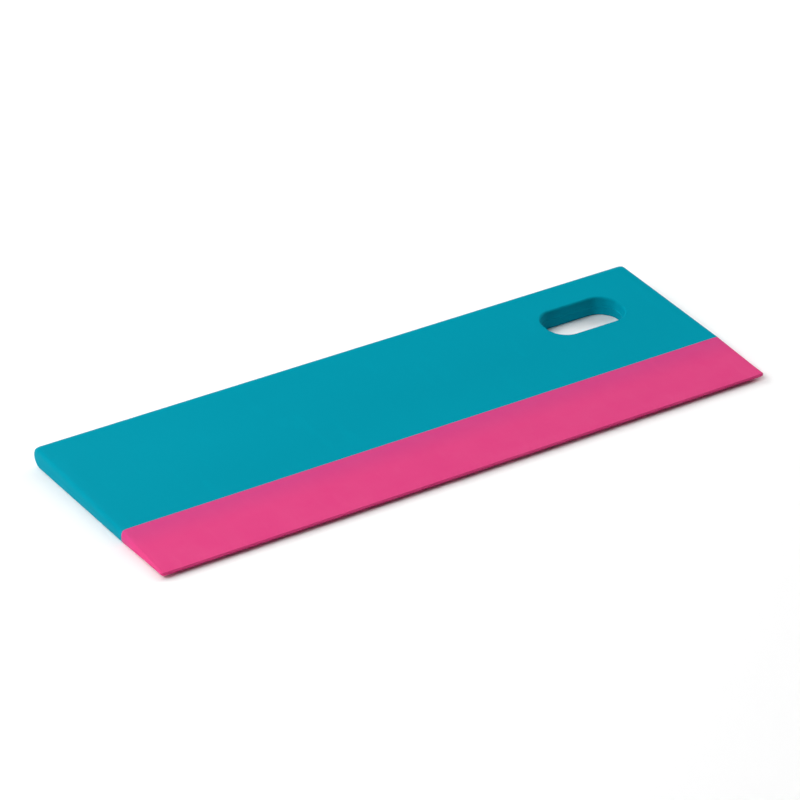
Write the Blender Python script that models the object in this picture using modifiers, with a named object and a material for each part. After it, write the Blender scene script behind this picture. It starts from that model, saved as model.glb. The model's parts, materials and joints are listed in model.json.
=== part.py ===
"""Hand squeegee: a stiff handle with a hang slot, and a soft blade locked onto its front edge.

Both pieces are modelled about their shared mid-plane: X runs along the length, Y from the blade's
edge back to the rounded rear edge, and Z through the thickness. The finished squeegee is then
tipped by half of its taper, so that the handle's underside lies flat on z = 0.
"""

import math

import bmesh
import bpy
from mathutils import Vector

# Driving dimensions, in metres
LENGTH = 0.200
DEPTH = 0.0718  # blade's edge to rear edge, along the mid-plane
REAR_THICKNESS = 0.0067  # the rear edge is a full half round of this thickness
JOINT_THICKNESS = 0.00425  # where the blade meets the handle
EDGE_THICKNESS = 0.00095  # the blade's flat working edge
BLADE_DEPTH = 0.0218  # the blade's share of the depth
END_ROUND = 0.00045  # rounding of the end faces and of the working edge
GAP = 0.0003  # clearance kept between the two pieces wherever they meet

# Hang slot: an oblong with well-rounded corners through the handle, near its right-hand rear corner
SLOT_LENGTH = 0.0261
SLOT_WIDTH = 0.0139
SLOT_CORNER = 0.0052  # its corners' radius, a little short of full half rounds
SLOT_FROM_END = 0.0278  # slot centre to the right-hand end
SLOT_FROM_REAR = 0.0204  # slot centre to the rear edge
SLOT_RIM_ROUND = 0.0007

# Interlock: a tongue on the handle's front edge sits in a groove in the blade, and pegs of the
# blade's own material pass through holes in the tongue
TONGUE_DEPTH = 0.0065
TONGUE_THICKNESS = 0.0014
TONGUE_FROM_END = 0.005  # the tongue stops this far short of each end
LOCK_COUNT = 12
LOCK_HOLE_RADIUS = 0.0016

# Modelling allowances
PAST = 0.003  # how far a blank or a cutter runs past the face it makes
BITE = 0.0005  # how far a joined shape sinks into the piece it joins
NOSE_STEPS = 16
SLOT_CORNER_STEPS = 12
PIN_SIDES = 20
ROUND_SEGMENTS = 3
WELD_DISTANCE = 0.000001
SHARP_ANGLE = math.radians(60)
SMOOTH_ANGLE = math.radians(35)

TEAL = (0.001, 0.290, 0.400, 1.0)
PINK = (0.760, 0.070, 0.230, 1.0)
HANDLE_ROUGHNESS = 0.42
BLADE_ROUGHNESS = 0.55

NOSE_RADIUS = REAR_THICKNESS / 2
NOSE_Y = DEPTH - NOSE_RADIUS
JOINT_HALF = JOINT_THICKNESS / 2
EDGE_HALF = EDGE_THICKNESS / 2
SIDEWAYS = (math.pi / 2, 0, math.pi / 2)  # turns an outline's X, Y and depth to Y, Z and X


def half_taper():
    """Angle between the mid-plane and a flat of the handle, which touches the rear half round."""
    reach = math.hypot(NOSE_Y - BLADE_DEPTH, JOINT_HALF)
    return math.asin(NOSE_RADIUS / reach) - math.asin(JOINT_HALF / reach)


def handle_half(y):
    """Half of the handle's thickness at y, on its flat part."""
    return JOINT_HALF + (y - BLADE_DEPTH) * math.tan(half_taper())


def blade_half(y):
    """Half of the blade's thickness at y."""
    return EDGE_HALF + (JOINT_HALF - EDGE_HALF) * y / BLADE_DEPTH


def clear_scene():
    for thing in list(bpy.data.objects):
        bpy.data.objects.remove(thing, do_unlink=True)


def new_collection(name):
    collection = bpy.data.collections.new(name)
    bpy.context.scene.collection.children.link(collection)
    return collection


def plastic(name, colour, roughness):
    material = bpy.data.materials.new(name)
    material.use_nodes = True
    shader = material.node_tree.nodes["Principled BSDF"]
    shader.inputs["Base Color"].default_value = colour
    shader.inputs["Roughness"].default_value = roughness
    shader.inputs["Metallic"].default_value = 0.0
    material.diffuse_color = colour
    return material


def arc(centre, radius, start, end, steps):
    """Points on a circle from one angle to another, both ends included."""
    angles = [start + (end - start) * i / steps for i in range(steps + 1)]
    return [(centre[0] + radius * math.cos(a), centre[1] + radius * math.sin(a)) for a in angles]


def extruded(name, outline, thickness, rotation=(0, 0, 0), location=(0, 0, 0)):
    """A flat outline given a thickness, as a closed mesh centred on the outline's plane."""
    curve = bpy.data.curves.new(name + "_outline", "CURVE")
    curve.dimensions = "2D"
    curve.fill_mode = "BOTH"
    curve.extrude = thickness / 2
    spline = curve.splines.new("POLY")
    spline.points.add(len(outline) - 1)
    for point, (x, y) in zip(spline.points, outline):
        point.co = (x, y, 0, 1)
    spline.use_cyclic_u = True
    drawn = bpy.data.objects.new(name + "_outline", curve)
    drawn.rotation_euler = rotation
    drawn.location = location
    bpy.context.scene.collection.objects.link(drawn)
    bpy.context.view_layer.update()

    evaluated = drawn.evaluated_get(bpy.context.evaluated_depsgraph_get())
    mesh = bpy.data.meshes.new_from_object(evaluated)
    welded = bmesh.new()
    welded.from_mesh(mesh)
    bmesh.ops.remove_doubles(welded, verts=welded.verts, dist=WELD_DISTANCE)
    bmesh.ops.recalc_face_normals(welded, faces=welded.faces)
    welded.to_mesh(mesh)
    welded.free()
    solid = bpy.data.objects.new(name, mesh)
    solid.matrix_world = drawn.matrix_world.copy()
    bpy.data.objects.remove(drawn, do_unlink=True)
    return solid


def block(name, low, high):
    """A box between two corners."""
    low, high = Vector(low), Vector(high)
    shape = bmesh.new()
    bmesh.ops.create_cube(shape, size=1.0)
    bmesh.ops.scale(shape, vec=high - low, verts=shape.verts)
    mesh = bpy.data.meshes.new(name)
    shape.to_mesh(mesh)
    shape.free()
    solid = bpy.data.objects.new(name, mesh)
    solid.location = (low + high) / 2
    return solid


def lock_pins(name, radius, height):
    """A row of upright round pins, one for each locking hole in the tongue."""
    pitch = (LENGTH - 2 * TONGUE_FROM_END) / LOCK_COUNT
    shape = bmesh.new()
    for i in range(LOCK_COUNT):
        pin = bmesh.ops.create_cone(
            shape, cap_ends=True, segments=PIN_SIDES, radius1=radius, radius2=radius, depth=height
        )
        offset = (i - (LOCK_COUNT - 1) / 2) * pitch
        bmesh.ops.translate(shape, vec=(offset, 0, 0), verts=pin["verts"])
    mesh = bpy.data.meshes.new(name)
    shape.to_mesh(mesh)
    shape.free()
    solid = bpy.data.objects.new(name, mesh)
    solid.location = (0, BLADE_DEPTH - TONGUE_DEPTH / 2, 0)
    return solid


def as_part(solid, collection, frame, material):
    solid.data.materials.append(material)
    solid.data.shade_smooth()
    solid.data.set_sharp_from_angle(angle=SMOOTH_ANGLE)
    collection.objects.link(solid)
    solid.parent = frame
    return solid


def as_cutter(solid, collection, frame):
    solid.data.shade_smooth()
    solid.data.set_sharp_from_angle(angle=SMOOTH_ANGLE)
    collection.objects.link(solid)
    solid.parent = frame
    solid.hide_render = True
    solid.display_type = "WIRE"
    return solid


def combine(solid, operation, other):
    modifier = solid.modifiers.new(operation.lower() + "_" + other.name, "BOOLEAN")
    modifier.operation = operation
    modifier.solver = "EXACT"
    modifier.object = other


def round_edges(solid, name, radius):
    modifier = solid.modifiers.new(name, "BEVEL")
    modifier.width = radius
    modifier.segments = ROUND_SEGMENTS
    modifier.limit_method = "ANGLE"
    modifier.angle_limit = SHARP_ANGLE


def handle_outline():
    """The handle's section as (y, z): two flats that touch the half round at the rear."""
    touch = math.pi / 2 + half_taper()
    front = BLADE_DEPTH - PAST
    nose = arc((NOSE_Y, 0), NOSE_RADIUS, -touch, touch, NOSE_STEPS)
    return [(front, -handle_half(front))] + nose + [(front, handle_half(front))]


def blade_outline():
    """The blade's section as (y, z): a wedge cut off square at the working edge."""
    rear = BLADE_DEPTH + PAST
    top = [(0, EDGE_HALF), (rear, blade_half(rear))]
    return [(y, -z) for y, z in reversed(top)] + top


def slot_outline():
    """The hang slot's outline as (x, y) about its own centre, anticlockwise from the front right corner."""
    half_x = SLOT_LENGTH / 2 - SLOT_CORNER
    half_y = SLOT_WIDTH / 2 - SLOT_CORNER
    points = []
    for quarter, (x, y) in enumerate(((1, -1), (1, 1), (-1, 1), (-1, -1))):
        start = (quarter - 1) * math.pi / 2
        centre = (x * half_x, y * half_y)
        points += arc(centre, SLOT_CORNER, start, start + math.pi / 2, SLOT_CORNER_STEPS)
    return points


def build_handle(parts, cutters, frame):
    handle = extruded("handle_body", handle_outline(), LENGTH, rotation=SIDEWAYS)
    as_part(handle, parts, frame, plastic("handle_body", TEAL, HANDLE_ROUGHNESS))

    slot_place = (LENGTH / 2 - SLOT_FROM_END, DEPTH - SLOT_FROM_REAR, 0)
    slot = extruded("slot_cutter", slot_outline(), REAR_THICKNESS + PAST, location=slot_place)
    as_cutter(slot, cutters, frame)

    joint_face = BLADE_DEPTH + GAP / 2
    half_tongue = LENGTH / 2 - TONGUE_FROM_END
    trim = block(
        "handle_front_trim",
        (-LENGTH, BLADE_DEPTH - 2 * PAST, -REAR_THICKNESS),
        (LENGTH, joint_face, REAR_THICKNESS),
    )
    as_cutter(trim, cutters, frame)
    tongue = block(
        "tongue_blank",
        (-half_tongue, BLADE_DEPTH - TONGUE_DEPTH, -TONGUE_THICKNESS / 2),
        (half_tongue, joint_face + BITE, TONGUE_THICKNESS / 2),
    )
    as_cutter(tongue, cutters, frame)
    holes = lock_pins("lock_hole_cutters", LOCK_HOLE_RADIUS, TONGUE_THICKNESS + PAST)
    as_cutter(holes, cutters, frame)

    round_edges(handle, "round_ends", END_ROUND)
    combine(handle, "DIFFERENCE", slot)
    round_edges(handle, "round_slot_rims", SLOT_RIM_ROUND)
    combine(handle, "DIFFERENCE", trim)
    combine(handle, "UNION", tongue)
    combine(handle, "DIFFERENCE", holes)
    return handle


def build_blade(parts, cutters, frame):
    blade = extruded("soft_blade", blade_outline(), LENGTH, rotation=SIDEWAYS)
    as_part(blade, parts, frame, plastic("soft_blade", PINK, BLADE_ROUGHNESS))

    joint_face = BLADE_DEPTH - GAP / 2
    half_groove = LENGTH / 2 - TONGUE_FROM_END + GAP
    groove_height = TONGUE_THICKNESS + 2 * GAP
    trim = block(
        "blade_rear_trim",
        (-LENGTH, joint_face, -REAR_THICKNESS),
        (LENGTH, BLADE_DEPTH + 2 * PAST, REAR_THICKNESS),
    )
    as_cutter(trim, cutters, frame)
    groove = block(
        "groove_cutter",
        (-half_groove, BLADE_DEPTH - TONGUE_DEPTH - GAP, -groove_height / 2),
        (half_groove, BLADE_DEPTH + PAST, groove_height / 2),
    )
    as_cutter(groove, cutters, frame)
    pegs = lock_pins("lock_peg_blanks", LOCK_HOLE_RADIUS - GAP, groove_height + 2 * BITE)
    as_cutter(pegs, cutters, frame)

    round_edges(blade, "round_ends", END_ROUND)
    combine(blade, "DIFFERENCE", trim)
    combine(blade, "DIFFERENCE", groove)
    combine(blade, "UNION", pegs)
    return blade


def tip_onto_underside(frame):
    """Turns the mid-plane up by half the taper, and centres the squeegee over the origin."""
    tilt = half_taper()
    front = -EDGE_HALF * math.sin(tilt)
    rear = NOSE_Y * math.cos(tilt) + NOSE_RADIUS
    frame.rotation_euler = (tilt, 0, 0)
    frame.location = (0, -(front + rear) / 2, NOSE_RADIUS - NOSE_Y * math.sin(tilt))


def main():
    clear_scene()
    parts = new_collection("squeegee_applicator")
    cutters = new_collection("cutters")
    frame = bpy.data.objects.new("mid_plane_frame", None)
    parts.objects.link(frame)
    tip_onto_underside(frame)
    build_handle(parts, cutters, frame)
    build_blade(parts, cutters, frame)


main()
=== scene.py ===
"""The finished squeegee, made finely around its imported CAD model: the stiff handle with its hang slot,
the soft blade, their moulded plastics, a white floor, soft studio light and the camera."""

import json
import math

import bmesh
import bpy
from mathutils import Matrix, Vector


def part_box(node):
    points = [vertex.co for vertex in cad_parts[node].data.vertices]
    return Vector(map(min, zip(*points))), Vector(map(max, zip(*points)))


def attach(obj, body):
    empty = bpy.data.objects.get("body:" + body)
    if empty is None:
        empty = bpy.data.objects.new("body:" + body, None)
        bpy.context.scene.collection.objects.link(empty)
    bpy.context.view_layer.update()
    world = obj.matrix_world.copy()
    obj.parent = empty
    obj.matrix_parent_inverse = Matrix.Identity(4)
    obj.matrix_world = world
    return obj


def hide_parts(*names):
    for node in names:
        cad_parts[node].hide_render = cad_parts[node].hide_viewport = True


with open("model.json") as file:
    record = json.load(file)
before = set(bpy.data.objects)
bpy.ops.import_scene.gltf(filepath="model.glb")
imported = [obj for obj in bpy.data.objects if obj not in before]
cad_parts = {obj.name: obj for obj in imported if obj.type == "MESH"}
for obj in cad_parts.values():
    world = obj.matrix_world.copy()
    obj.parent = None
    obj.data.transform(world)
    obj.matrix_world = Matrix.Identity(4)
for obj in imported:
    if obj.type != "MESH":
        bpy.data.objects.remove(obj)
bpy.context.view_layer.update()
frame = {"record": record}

MM = 0.001

# The squeegee about its mid-plane: y runs from the blade's edge to the rear. The sizes are the CAD's, less
# a hundredth of a millimetre in depth and thickness, to stay inside its box. The slot is 0.1 mm longer
# and its corners are rounder.
REAR_THICKNESS = 6.69 * MM
JOINT_THICKNESS = 4.25 * MM
EDGE_THICKNESS = 0.95 * MM
DEPTH = 71.79 * MM
BLADE_DEPTH = 21.8 * MM
SLOT_LENGTH = 26.2 * MM
SLOT_WIDTH = 13.9 * MM
SLOT_CORNER = 6.0 * MM
TONGUE_DEPTH = 6.5 * MM
TONGUE_THICKNESS = 1.4 * MM
TONGUE_FROM_END = 5.0 * MM
LOCK_COUNT = 12
LOCK_HOLE_RADIUS = 1.6 * MM

# Finish of the mouldings. Both ends turn over in arcs, each with the angle that it reaches and its radius:
# a slight crown, then a fillet, then a nearly upright end
END_ARCS = ((4, 14.0 * MM), (14, 4.5 * MM), (64, 0.6 * MM), (90, 3.4 * MM))
TIP_FADE = 0.83  # how much of that rounding is lost where the blade thins to its edge
PLAN_CORNER = 0.7 * MM  # rounding of the blade's two corners, seen from above
EDGE_INSET = 0.01 * MM  # the working edge is drawn in by a hair
EDGE_CORNER = 0.18 * MM  # rounding along the working edge
SLOT_RIM_ROUND = 0.70 * MM
SLOT_DRAFT = math.radians(1.5)  # the slot widens from its parting line to both faces
FLASH_WIDTH = 0.50 * MM  # the parting line in the slot stands proud as a low ridge
FLASH_HEIGHT = 0.22 * MM
SEAM = 0.004 * MM  # half of the hairline between the two plastics
FIT = 0.02 * MM  # clearance around the hidden tongue and pegs
FLOOR_CLEAR = 0.002 * MM  # lift that keeps rounding errors from reaching below the floor

# Modelling allowances
NOSE_STEPS = 48
ARC_STEPS = 8
SLOT_CORNER_STEPS = 24
BLADE_STEPS = 14
EDGE_STEPS = 6
PIN_SIDES = 32
RIM_STEPS = 8
RIM_TURN = math.radians(82)  # the slot's rims stop just short of lying flat
RIM_CLEAR = 0.03 * MM  # the slot's cutter carries its rim on this far past the face
PAST = 3.0 * MM  # how far a blank or a cutter runs past the face it makes
BITE = 0.5 * MM  # how far a joined shape sinks into the piece it joins
WELD_DISTANCE = 0.0005 * MM
CREASE_ANGLE = math.radians(22)  # an edge that turns by more than this is shaded sharp

NOSE_RADIUS = REAR_THICKNESS / 2
NOSE_Y = DEPTH - NOSE_RADIUS
JOINT_HALF = JOINT_THICKNESS / 2
EDGE_HALF = EDGE_THICKNESS / 2
BLADE_SLOPE = (JOINT_HALF - EDGE_HALF) / BLADE_DEPTH

# Light: each softbox's name, azimuth and elevation in degrees, distance in metres, and level
SOFTBOXES = (
    ("left", -82, 44, 1.2, 0.27),
    ("front_left", -40, 42, 2.2, 0.04),
    ("back", -178, 36, 0.6, 0.12),
    ("high_left", -115, 70, 1.2, 0.17),
    ("low_left", -90, 10, 0.6, 0.03),
    ("far_back_left", -140, 31, 2.2, 0.19),
    ("far_back_right", 130, 52, 2.2, 0.175),
    ("far_right", 95, 26, 2.2, 0.20),
)
SOFTBOX_WIDTH = 0.50  # both sides are shares of its distance
SOFTBOX_HEIGHT = 0.40
ROOM_LIGHT = 0.01
FLOOR_WHITE = 0.97
FLOOR_HALF = 2.0  # metres from the middle to each side

# Camera: a long lens, from above the blade's left-hand side
CAMERA_AZIMUTH = -32.98
CAMERA_ELEVATION = 29.57
CAMERA_DISTANCE = 1.1322
CAMERA_TARGET = (5.36 * MM, 11.01 * MM, 0.0)
CAMERA_LENS = 178.41
SENSOR_WIDTH = 36.0


def half_taper():
    """Angle between the mid-plane and a flat of the handle, which touches the rear half round."""
    reach = math.hypot(NOSE_Y - BLADE_DEPTH, JOINT_HALF)
    return math.asin(NOSE_RADIUS / reach) - math.asin(JOINT_HALF / reach)


def placement():
    """From the mid-plane to the row frame: the underside lies flat and the box is centred."""
    tilt = half_taper()
    front = -EDGE_HALF * math.sin(tilt)
    rear = NOSE_Y * math.cos(tilt) + NOSE_RADIUS
    lift = NOSE_RADIUS - NOSE_Y * math.sin(tilt) + FLOOR_CLEAR
    return Matrix.Translation((0, -(front + rear) / 2, lift)) @ Matrix.Rotation(tilt, 4, "X")


PLACE = placement()
handle_low, handle_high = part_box("handle_body")
LENGTH = handle_high.x - handle_low.x


def slot_centre():
    """The hang slot's centre on the mid-plane, from the opening that the record states."""
    low, high = frame["record"]["physics"]["openings"][0]["box_m"]
    x, y = ((a + b) / 2 for a, b in zip(low[:2], high[:2]))
    return Vector((x, (y - PLACE.translation.y) / math.cos(half_taper()), 0))


SLOT_CENTRE = slot_centre()


def handle_half(y):
    """Half of the handle's thickness at y, on its flat part."""
    return JOINT_HALF + (y - BLADE_DEPTH) * math.tan(half_taper())


def arc(centre, radius, start, end, steps):
    """Points on a circle from one angle to another, both ends included."""
    angles = [start + (end - start) * i / steps for i in range(steps + 1)]
    return [(centre[0] + radius * math.cos(a), centre[1] + radius * math.sin(a)) for a in angles]


# ---------------------------------------------------------------- shapes


def handle_section(inset):
    """The handle's section as (y, z), drawn in by inset all round except at the front."""
    touch = math.pi / 2 + half_taper()
    front = BLADE_DEPTH - PAST
    z = handle_half(front) - inset / math.cos(half_taper())
    return [(front, -z)] + arc((NOSE_Y, 0), NOSE_RADIUS - inset, -touch, touch, NOSE_STEPS) + [(front, z)]


def blade_section(inset):
    """The blade's section as (y, z), drawn in by inset at the joint and by less towards the edge."""
    share = inset / END_INSET

    def top(y):
        fade = 1 - TIP_FADE * max(0.0, 1 - y / BLADE_DEPTH)
        return EDGE_HALF + BLADE_SLOPE * y - inset * fade

    front = EDGE_INSET + PLAN_CORNER * share
    corner = EDGE_CORNER * (1 - 0.5 * share)
    lean = math.atan(BLADE_SLOPE)
    centre = (front + corner, top(front + corner) - corner / math.cos(lean))
    rounded = arc(centre, corner, math.pi, math.pi / 2 + lean, EDGE_STEPS)
    start, end = rounded[-1][0], BLADE_DEPTH - SEAM
    flat = [start + (end - start) * ((i + 1) / BLADE_STEPS) ** 1.5 for i in range(BLADE_STEPS)]
    upper = rounded + [(y, top(y)) for y in flat]
    return [(y, -z) for y, z in reversed(upper)] + upper


def end_profile():
    """The rounding of an end as (distance from the end, inset), from the top face to the end face."""
    points = [(0.0, 0.0)]
    before = 0.0
    for last, radius in END_ARCS:
        for i in range(ARC_STEPS):
            one = math.radians(before + (last - before) * i / ARC_STEPS)
            two = math.radians(before + (last - before) * (i + 1) / ARC_STEPS)
            x, inset = points[-1]
            run = radius * (math.sin(two) - math.sin(one))
            points.append((x + run, inset + radius * (math.cos(one) - math.cos(two))))
        before = last
    return [(points[-1][0] - x, inset) for x, inset in points]


END_PROFILE = end_profile()
END_INSET = END_PROFILE[-1][1]


def end_rings(section):
    """Rings of points along X, which carry a section over the rounding of both ends."""
    rings = []
    for side in (-1, 1):
        for from_end, inset in reversed(END_PROFILE) if side < 0 else END_PROFILE:
            x = side * (LENGTH / 2 - from_end)
            rings.append([Vector((x, y, z)) for y, z in section(inset)])
    return rings


def solid_from(name, shape):
    """An object in the scene made of the bmesh shape, which is freed."""
    mesh = bpy.data.meshes.new(name)
    shape.to_mesh(mesh)
    shape.free()
    mesh.shade_smooth()
    solid = bpy.data.objects.new(name, mesh)
    bpy.context.scene.collection.objects.link(solid)
    return solid


def loft(name, rings):
    """A closed mesh through rings of equally many points, with a flat cap at each end."""
    shape = bmesh.new()
    made = [[shape.verts.new(point) for point in ring] for ring in rings]
    for one, two in zip(made, made[1:]):
        for i in range(len(one)):
            j = (i + 1) % len(one)
            shape.faces.new((one[i], one[j], two[j], two[i]))
    shape.faces.new(list(reversed(made[0])))
    shape.faces.new(made[-1])
    bmesh.ops.recalc_face_normals(shape, faces=shape.faces)
    return solid_from(name, shape)


def block(name, low, high):
    """A box between two corners, made of two rings."""
    outline = [(low[1], low[2]), (high[1], low[2]), (high[1], high[2]), (low[1], high[2])]
    return loft(name, [[Vector((x, y, z)) for y, z in outline] for x in (low[0], high[0])])


def slot_cutter():
    """The hang slot's inside: drafted walls, a low parting ridge on the mid-plane and rounded rims."""
    half_x = SLOT_LENGTH / 2 - SLOT_CORNER
    half_y = SLOT_WIDTH / 2 - SLOT_CORNER
    lean = math.tan(SLOT_DRAFT)
    wall = REAR_THICKNESS / 2 - SLOT_RIM_ROUND
    # each level is its depth below the handle's face, or its height on the mid-plane, and its offset
    levels = [(None, 0.0, -FLASH_HEIGHT), (None, FLASH_WIDTH / 2, 0.0)]
    for i in range(RIM_STEPS + 1):
        turn = RIM_TURN * i / RIM_STEPS
        sink = SLOT_RIM_ROUND * (1 - math.sin(turn))
        levels.append((sink, 0.0, wall * lean + SLOT_RIM_ROUND * (1 - math.cos(turn))))
    brim = levels[-1][2] + (levels[-1][0] + RIM_CLEAR) * math.tan(RIM_TURN)
    levels += [(-RIM_CLEAR, 0.0, brim), (-PAST, 0.0, brim)]

    def ring(side, level):
        sink, height, offset = level
        outline = []
        for quarter, (x, y) in enumerate(((1, -1), (1, 1), (-1, 1), (-1, -1))):
            start = (quarter - 1) * math.pi / 2
            centre = (x * half_x, y * half_y)
            outline += arc(centre, SLOT_CORNER + offset, start, start + math.pi / 2, SLOT_CORNER_STEPS)
        points = [SLOT_CENTRE + Vector((x, y, 0)) for x, y in outline]
        for point in points:
            point.z = side * (height if sink is None else handle_half(point.y) - sink)
        return points

    lower = [ring(-1, level) for level in reversed(levels)]
    return loft("slot_cutter", lower + [ring(1, level) for level in levels[1:]])


def lock_pins(name, radius, height):
    """A row of upright round pins, one for each locking hole in the tongue."""
    pitch = (LENGTH - 2 * TONGUE_FROM_END) / LOCK_COUNT
    shape = bmesh.new()
    for i in range(LOCK_COUNT):
        pin = bmesh.ops.create_cone(
            shape, cap_ends=True, segments=PIN_SIDES, radius1=radius, radius2=radius, depth=height
        )
        place = Vector(((i - (LOCK_COUNT - 1) / 2) * pitch, BLADE_DEPTH - TONGUE_DEPTH / 2, 0))
        bmesh.ops.translate(shape, vec=place, verts=pin["verts"])
    return solid_from(name, shape)


def combine(solid, operation, other):
    """Adds a Boolean with another solid, which is a helper and isn't rendered."""
    modifier = solid.modifiers.new(operation.lower() + "_" + other.name, "BOOLEAN")
    modifier.operation = operation
    modifier.solver = "EXACT"
    modifier.object = other
    other.hide_render = True


def finished(solid, helpers):
    """Applies the modifiers, removes the helpers and sets the piece in its place in the row frame."""
    bpy.context.view_layer.update()
    evaluated = solid.evaluated_get(bpy.context.evaluated_depsgraph_get())
    mesh = bpy.data.meshes.new_from_object(evaluated)
    clean = bmesh.new()
    clean.from_mesh(mesh)
    bmesh.ops.remove_doubles(clean, verts=clean.verts, dist=WELD_DISTANCE)
    bmesh.ops.dissolve_degenerate(clean, edges=clean.edges, dist=WELD_DISTANCE)
    clean.to_mesh(mesh)
    clean.free()
    mesh.transform(PLACE)
    mesh.shade_smooth()
    mesh.set_sharp_from_angle(angle=CREASE_ANGLE)
    solid.modifiers.clear()
    solid.data = mesh
    for helper in helpers:
        bpy.data.objects.remove(helper, do_unlink=True)
    normals = solid.modifiers.new("flat_faces_stay_flat", "WEIGHTED_NORMAL")
    normals.keep_sharp = True
    normals.weight = 100
    return solid


def make_handle():
    handle = loft("handle", end_rings(handle_section))
    slot = slot_cutter()
    joint = BLADE_DEPTH + SEAM
    half_tongue = LENGTH / 2 - TONGUE_FROM_END
    trim = block(
        "front_trim",
        (-LENGTH, BLADE_DEPTH - 2 * PAST, -REAR_THICKNESS),
        (LENGTH, joint, REAR_THICKNESS),
    )
    tongue = block(
        "tongue",
        (-half_tongue, BLADE_DEPTH - TONGUE_DEPTH, -TONGUE_THICKNESS / 2),
        (half_tongue, joint + BITE, TONGUE_THICKNESS / 2),
    )
    holes = lock_pins("lock_holes", LOCK_HOLE_RADIUS, TONGUE_THICKNESS + PAST)
    combine(handle, "DIFFERENCE", slot)
    combine(handle, "DIFFERENCE", trim)
    combine(handle, "UNION", tongue)
    combine(handle, "DIFFERENCE", holes)
    return finished(handle, (slot, trim, tongue, holes))


def make_blade():
    blade = loft("blade", end_rings(blade_section))
    half_groove = LENGTH / 2 - TONGUE_FROM_END + FIT
    groove_height = TONGUE_THICKNESS + 2 * FIT
    groove = block(
        "groove",
        (-half_groove, BLADE_DEPTH - TONGUE_DEPTH - FIT, -groove_height / 2),
        (half_groove, BLADE_DEPTH + PAST, groove_height / 2),
    )
    pegs = lock_pins("lock_pegs", LOCK_HOLE_RADIUS - FIT, groove_height + 2 * BITE)
    combine(blade, "DIFFERENCE", groove)
    combine(blade, "UNION", pegs)
    return finished(blade, (groove, pegs))


# ---------------------------------------------------------------- materials


class Nodes:
    """A material's node tree, with short calls for the nodes that the plastics use."""

    def __init__(self, name):
        self.material = bpy.data.materials.new(name)
        self.material.use_nodes = True
        self.tree = self.material.node_tree
        self.shader = self.tree.nodes["Principled BSDF"]
        self.place = self.add("ShaderNodeTexCoord").outputs["Object"]

    def add(self, kind, **settings):
        node = self.tree.nodes.new(kind)
        for key, value in settings.items():
            setattr(node, key, value)
        return node

    def join(self, output, socket):
        self.tree.links.new(output, socket)

    def noise(self, size, detail, stretch=(1, 1, 1), roughness=0.5):
        """Noise from 0 to 1 whose features are about size metres across."""
        mapping = self.add("ShaderNodeMapping")
        mapping.inputs["Scale"].default_value = stretch
        self.join(self.place, mapping.inputs["Vector"])
        node = self.add("ShaderNodeTexNoise")
        node.inputs["Scale"].default_value = 1 / size
        node.inputs["Detail"].default_value = detail
        node.inputs["Roughness"].default_value = roughness
        self.join(mapping.outputs["Vector"], node.inputs["Vector"])
        return node.outputs["Fac"]

    def patches(self, size, detail, low, high, stretch=(1, 1, 1)):
        """Soft patches about size metres across, which run from low to high."""
        return self.ranged(self.noise(size, detail, stretch), *NOISE_SPAN, low, high)

    def ranged(self, value, low, high, to_low, to_high, smooth=False):
        """value from low to high, moved to run from to_low to to_high, and held at both ends."""
        node = self.add("ShaderNodeMapRange")
        if smooth:
            node.interpolation_type = "SMOOTHSTEP"
        limits = {"From Min": low, "From Max": high, "To Min": to_low, "To Max": to_high}
        for socket, number in limits.items():
            node.inputs[socket].default_value = number
        self.join(value, node.inputs["Value"])
        return node.outputs["Result"]

    def math(self, operation, one, two):
        node = self.add("ShaderNodeMath", operation=operation)
        for socket, value in zip(node.inputs, (one, two)):
            if isinstance(value, (int, float)):
                socket.default_value = value
            else:
                self.join(value, socket)
        return node.outputs["Value"]

    def mixed(self, factor, one, two):
        """A colour between one and two, each a colour or a socket."""
        node = self.add("ShaderNodeMix", data_type="RGBA")
        factor_in, one_in, two_in = (node.inputs[i] for i in (0, 6, 7))
        for socket, value in ((factor_in, factor), (one_in, one), (two_in, two)):
            if isinstance(value, (int, float)):
                socket.default_value = value
            elif isinstance(value, tuple):
                socket.default_value = (*value, 1.0)
            else:
                self.join(value, socket)
        return node.outputs[2]

    def axis(self, name):
        node = self.add("ShaderNodeSeparateXYZ")
        self.join(self.place, node.inputs["Vector"])
        return node.outputs[name]

    def bump(self, height, distance, under=None):
        """A normal bumped by height, up to distance, over the normal given as under."""
        node = self.add("ShaderNodeBump")
        node.inputs["Strength"].default_value = 1.0
        node.inputs["Distance"].default_value = distance
        self.join(height, node.inputs["Height"])
        if under is not None:
            self.join(under, node.inputs["Normal"])
        return node.outputs["Normal"]


NOISE_SPAN = (0.3, 0.7)  # nearly all of the noise lies in between

# Base colours, in linear light
TEAL = (0.0, 0.270, 0.366)
TEAL_LIGHT = (0.0, 0.280, 0.378)
TEAL_RUBBED = (0.0, 0.292, 0.392)
PINK = (0.696, 0.029, 0.192)
PINK_PALE = (0.711, 0.036, 0.201)
PINK_RUBBED = (0.722, 0.051, 0.216)
PINK_SHADED = (0.603, 0.031, 0.200)

# Shine and texture
TEAL_ROUGHNESS = (0.40, 0.48)
PINK_ROUGHNESS = (0.46, 0.58)
TEAL_SHINE = 0.015  # specular level: next to none, which keeps the teal deep
TEAL_SHINE_TINT = (0.0, 0.8, 1.0, 1.0)
PINK_SHINE = 0.30
PLASTIC_IOR = 1.45
SHADED_DEPTH = 11.0 * MM  # how far from the joint the pink stays deeper


def rubbed(n, size, low, high):
    """Faint rubbing marks that run with the sweep of the blade, as a factor from 0 to 1."""
    marks = n.noise(size, 5.0, stretch=(1, 0.22, 1), roughness=0.6)
    return n.ranged(marks, low, high, 0, 1, smooth=True)


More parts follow.
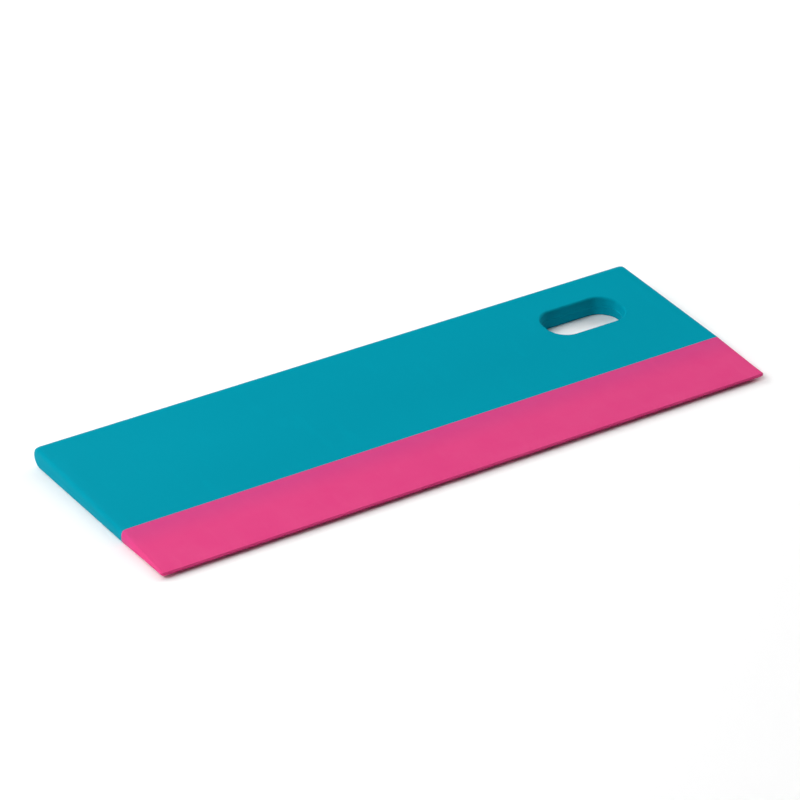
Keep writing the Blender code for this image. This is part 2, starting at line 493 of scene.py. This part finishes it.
def handle_plastic():
    """Stiff satin plastic: an even colour with faint flow clouding, over a fine spark-eroded grain."""
    n = Nodes("handle_satin_plastic")
    body = n.mixed(n.patches(45 * MM, 2.0, 0, 1, stretch=(0.6, 1.4, 1)), TEAL, TEAL_LIGHT)
    worn = rubbed(n, 4 * MM, 0.56, 0.74)
    n.join(n.mixed(n.math("MULTIPLY", worn, 0.5), body, TEAL_RUBBED), n.shader.inputs["Base Color"])
    satin = n.patches(6 * MM, 3.0, *TEAL_ROUGHNESS)
    dulled = n.math("ADD", satin, n.math("MULTIPLY", worn, 0.06))
    n.join(dulled, n.shader.inputs["Roughness"])
    swell = n.bump(n.noise(22 * MM, 1.0), 0.02 * MM)
    grain = n.bump(n.noise(0.22 * MM, 2.0), 0.004 * MM, under=swell)
    n.join(n.bump(worn, 0.002 * MM, under=grain), n.shader.inputs["Normal"])
    n.shader.inputs["IOR"].default_value = PLASTIC_IOR
    n.shader.inputs["Specular IOR Level"].default_value = TEAL_SHINE
    n.shader.inputs["Specular Tint"].default_value = TEAL_SHINE_TINT
    return n.material


def blade_elastomer():
    """Soft elastomer: duller, a little cloudy with handling, and deeper in colour over the tongue."""
    n = Nodes("blade_soft_elastomer")
    joint_y = (PLACE @ Vector((0, BLADE_DEPTH, 0))).y
    from_joint = n.math("SUBTRACT", joint_y, n.axis("Y"))
    body = n.mixed(n.patches(14 * MM, 3.0, 0, 1), PINK, PINK_PALE)
    over_tongue = n.ranged(from_joint, 0.0, SHADED_DEPTH, 1, 0, smooth=True)
    shaded = n.mixed(over_tongue, body, PINK_SHADED)
    # the rubbing grows towards the working edge
    worked = n.ranged(from_joint, 8 * MM, BLADE_DEPTH, 0.15, 0.6)
    worn = n.math("MULTIPLY", rubbed(n, 3 * MM, 0.54, 0.74), worked)
    n.join(n.mixed(worn, shaded, PINK_RUBBED), n.shader.inputs["Base Color"])
    satin = n.patches(5 * MM, 4.0, *PINK_ROUGHNESS)
    dulled = n.math("ADD", satin, n.math("MULTIPLY", worn, 0.10))
    n.join(dulled, n.shader.inputs["Roughness"])
    swell = n.bump(n.noise(15 * MM, 1.0), 0.02 * MM)
    grain = n.bump(n.noise(0.30 * MM, 3.0), 0.006 * MM, under=swell)
    n.join(n.bump(worn, 0.004 * MM, under=grain), n.shader.inputs["Normal"])
    n.shader.inputs["IOR"].default_value = PLASTIC_IOR
    n.shader.inputs["Specular IOR Level"].default_value = PINK_SHINE
    return n.material


# ---------------------------------------------------------------- stage


def make_floor():
    shape = bmesh.new()
    bmesh.ops.create_grid(shape, x_segments=1, y_segments=1, size=FLOOR_HALF)
    floor = solid_from("floor", shape)
    n = Nodes("white_floor")
    n.shader.inputs["Base Color"].default_value = (FLOOR_WHITE, FLOOR_WHITE, FLOOR_WHITE, 1)
    n.shader.inputs["Roughness"].default_value = 0.9
    n.shader.inputs["Specular IOR Level"].default_value = 0.0
    floor.data.materials.append(n.material)


def direction(azimuth, elevation):
    """Unit vector towards a place in the room. Azimuth 0 is the front and 90 the right."""
    a, e = math.radians(azimuth), math.radians(elevation)
    return Vector((math.sin(a) * math.cos(e), -math.cos(a) * math.cos(e), math.sin(e)))


def softbox(name, azimuth, elevation, distance, level):
    """A softbox that faces the middle. At level 1 it alone lights a flat white card there to full white."""
    lamp = bpy.data.lights.new(name, "AREA")
    lamp.shape = "RECTANGLE"
    lamp.size = SOFTBOX_WIDTH * distance
    lamp.size_y = SOFTBOX_HEIGHT * distance
    lamp.energy = level * (math.pi * distance) ** 2 / math.sin(math.radians(elevation))
    box = bpy.data.objects.new(name, lamp)
    away = direction(azimuth, elevation)
    box.location = away * distance
    box.rotation_euler = (-away).to_track_quat("-Z", "Y").to_euler()
    bpy.context.scene.collection.objects.link(box)


def light_room():
    scene = bpy.context.scene
    scene.world = bpy.data.worlds.new("room")
    scene.world.use_nodes = True
    background = scene.world.node_tree.nodes["Background"]
    background.inputs["Color"].default_value = (1, 1, 1, 1)
    background.inputs["Strength"].default_value = ROOM_LIGHT
    for name, azimuth, elevation, distance, level in SOFTBOXES:
        softbox(name, azimuth, elevation, distance, level)
    scene.view_settings.view_transform = "Standard"
    scene.view_settings.look = "None"


def make_camera():
    data = bpy.data.cameras.new("camera")
    data.lens = CAMERA_LENS
    data.sensor_width = SENSOR_WIDTH
    data.clip_start = 0.05
    data.clip_end = 20.0
    camera = bpy.data.objects.new("camera", data)
    away = direction(CAMERA_AZIMUTH, CAMERA_ELEVATION)
    camera.location = Vector(CAMERA_TARGET) + away * CAMERA_DISTANCE
    camera.rotation_euler = (-away).to_track_quat("-Z", "Y").to_euler()
    bpy.context.scene.collection.objects.link(camera)
    bpy.context.scene.camera = camera


def dress(piece, material, node):
    """Gives a piece its material, sets it on the root body and hides the CAD node that it stands in for."""
    piece.data.materials.clear()
    piece.data.materials.append(material)
    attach(piece, "root")
    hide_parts(node)


make_camera()
light_room()
make_floor()
dress(make_handle(), handle_plastic(), "handle_body")
dress(make_blade(), blade_elastomer(), "soft_blade")
